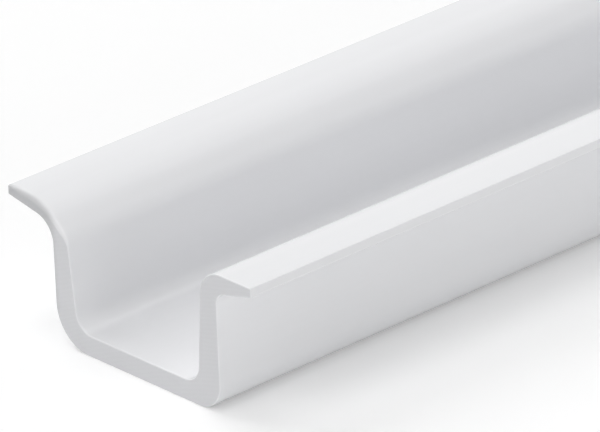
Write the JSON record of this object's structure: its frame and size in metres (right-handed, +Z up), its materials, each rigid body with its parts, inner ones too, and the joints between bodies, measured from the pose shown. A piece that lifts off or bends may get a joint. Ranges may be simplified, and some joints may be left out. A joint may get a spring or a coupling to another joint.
{
  "type": "plastic mounting rail",
  "caption": "White rigid-plastic mounting rail: an extruded top-hat channel with tapering walls, one flared rim and one square rim, for clip-on wiring devices.",
  "frame": {"origin": "middle of the overall width and of the length, on the underside of the web", "axes": "+Y along the rail, away from the sawn end that the picture shows; +X from the flared rim to the square rim; +Z up, from the web to the rims"},
  "size_m": [0.035, 1, 0.015],
  "materials": {
    "white_plastic": "satin"
  },
  "bodies": {
    "root": {"rail": "white_plastic"}
  },
  "joints": []
}
